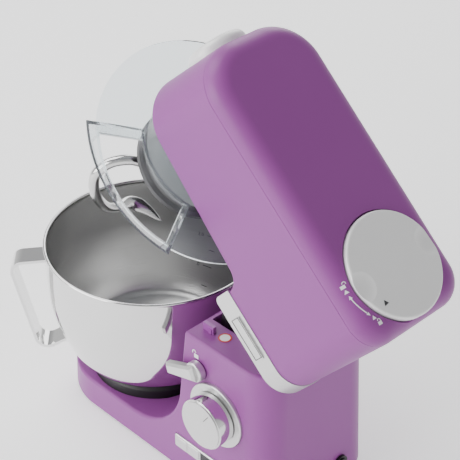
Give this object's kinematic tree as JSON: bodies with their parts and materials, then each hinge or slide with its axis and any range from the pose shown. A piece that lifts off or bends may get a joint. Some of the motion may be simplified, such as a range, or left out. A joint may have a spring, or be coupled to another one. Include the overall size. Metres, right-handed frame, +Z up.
{
  "type": "stand mixer",
  "caption": "Tilt-head stand mixer with a steel bowl, planetary dough hook, clear splash guard and side speed knob, head tilted open.",
  "frame": {"origin": "middle of the footprint box of the whole machine with the head open, on the surface it stands on", "axes": "+X towards the bowl end, +Y to the side with the speed knob, +Z up"},
  "size_m": [0.4596, 0.2434, 0.4695],
  "materials": {
    "painted_casting": "satin violet paint",
    "painted_shell": "satin violet paint",
    "violet_plastic": "moulded violet plastic",
    "polished_steel": "mirror polished outside, brushed inside",
    "handle_steel": "polished strip",
    "chrome": "bright chrome",
    "satin_silver": "satin silver",
    "cast_hub": "brushed grey casting",
    "cast_hook": "polished casting",
    "clear_plastic": "clear moulded plastic",
    "black_plastic": "black moulded plastic",
    "dark_window": "black window",
    "rubber": "soft black rubber",
    "zinc_steel": "zinc plated steel",
    "board": "green circuit board",
    "gear_plastic": "natural acetal"
  },
  "bodies": {
    "base": {"base_casing": "painted_casting", "bottom_plate": "black_plastic", "rubber_feet": "rubber", "base_screws": "zinc_steel", "bowl_seat": "black_plastic", "hinge_bracket": "zinc_steel", "hinge_pin": "zinc_steel", "knob_escutcheon": "satin_silver", "speed_switch": "black_plastic", "lever_bearing": "black_plastic", "control_frame": "satin_silver", "display_window": "dark_window", "control_board": "board", "power_board": "board", "cord_gland": "black_plastic", "interlock_tab": "violet_plastic"},
    "head": {"head_housing": "painted_shell", "head_cover": "painted_shell", "trim_band": "satin_silver", "blank_plate": "satin_silver", "head_floor": "black_plastic", "hinge_arms": "zinc_steel", "lock_sectors": "zinc_steel", "front_outlet_cover": "satin_silver", "front_outlet_socket": "black_plastic", "top_outlet_socket": "black_plastic", "drive_collar": "black_plastic", "ring_gear": "gear_plastic", "gearbox_housing": "zinc_steel", "shaft_bearings": "zinc_steel", "drive_belt": "rubber", "motor_stator": "zinc_steel", "motor_mount": "zinc_steel", "splash_guard": "clear_plastic", "pouring_chute": "clear_plastic", "lid_switch": "black_plastic"},
    "planet_hub": {"planet_hub": "cast_hub", "hub_shaft": "zinc_steel", "large_pulley": "gear_plastic", "tool_bushes": "gear_plastic"},
    "tool": {"tool_shaft": "zinc_steel", "planet_pinion": "gear_plastic", "dough_hook": "cast_hook"},
    "motor_rotor": {"motor_rotor": "zinc_steel", "small_pulley": "zinc_steel"},
    "outlet_dial": {"outlet_dial": "satin_silver"},
    "bowl": {"mixing_bowl": "polished_steel", "bowl_foot": "polished_steel", "bowl_handle": "handle_steel"},
    "speed_knob": {"speed_knob": "chrome", "knob_shaft": "zinc_steel", "knob_face": "satin_silver"},
    "release_lever": {"release_lever": "satin_silver", "lever_shaft": "zinc_steel", "latch_cam": "black_plastic"},
    "button_1": {"button_1": "satin_silver"},
    "button_2": {"button_2": "satin_silver"},
    "button_3": {"button_3": "satin_silver"},
    "button_4": {"button_4": "satin_silver"}
  },
  "joints": [
    {"name": "head_tilt", "type": "hinge", "parent": "base", "child": "head", "pos_m": [-0.10544, -0.0097, 0.1556], "axis": [0, 1, 0], "range_deg": [0, 41.6]},
    {"name": "hub_spin", "type": "hinge", "parent": "head", "child": "planet_hub", "pos_m": [0.03229, -0.0097, 0.33726], "axis": [-0.6639, 0, 0.7478], "continuous": true},
    {"name": "tool_spin", "type": "hinge", "parent": "planet_hub", "child": "tool", "pos_m": [0.04282, 0.01679, 0.34661], "axis": [-0.6639, 0, 0.7478], "continuous": true},
    {"name": "motor_spin", "type": "hinge", "parent": "head", "child": "motor_rotor", "pos_m": [-0.1199, -0.0097, 0.25563], "axis": [-0.6639, 0, 0.7478], "continuous": true},
    {"name": "dial_turn", "type": "hinge", "parent": "head", "child": "outlet_dial", "pos_m": [-0.1912, -0.0097, 0.31937], "axis": [-0.6639, 0, 0.7478], "range_deg": [-36, 0]},
    {"name": "bowl_twist", "type": "hinge", "parent": "base", "child": "bowl", "pos_m": [0.11816, -0.0097, 0.05], "axis": [0, 0, 1], "range_deg": [0, 24]},
    {"name": "speed_turn", "type": "hinge", "parent": "base", "child": "speed_knob", "pos_m": [-0.04984, 0.0703, 0.105], "axis": [0, 1, 0], "range_deg": [-35, 220]},
    {"name": "lever_press", "type": "hinge", "parent": "base", "child": "release_lever", "pos_m": [-0.02484, 0.0653, 0.146], "axis": [0, 1, 0], "range_deg": [0, 32], "stiffness_Nm_per_rad": 0.35, "springref_deg": -11.46},
    {"name": "button_1_press", "type": "slide", "parent": "base", "child": "button_1", "axis": [0, -1, 0], "range_m": [0, 0.0015], "stiffness_N_per_m": 600, "springref_m": -0.0012},
    {"name": "button_2_press", "type": "slide", "parent": "base", "child": "button_2", "axis": [0, -1, 0], "range_m": [0, 0.0015], "stiffness_N_per_m": 600, "springref_m": -0.0012},
    {"name": "button_3_press", "type": "slide", "parent": "base", "child": "button_3", "axis": [0, -1, 0], "range_m": [0, 0.0015], "stiffness_N_per_m": 600, "springref_m": -0.0012},
    {"name": "button_4_press", "type": "slide", "parent": "base", "child": "button_4", "axis": [0, -1, 0], "range_m": [0, 0.0015], "stiffness_N_per_m": 600, "springref_m": -0.0012}
  ],
  "couplings": [
    {"joint": "tool_spin", "follows": "hub_spin", "ratio": -3},
    {"joint": "motor_spin", "follows": "hub_spin", "ratio": 5}
  ]
}
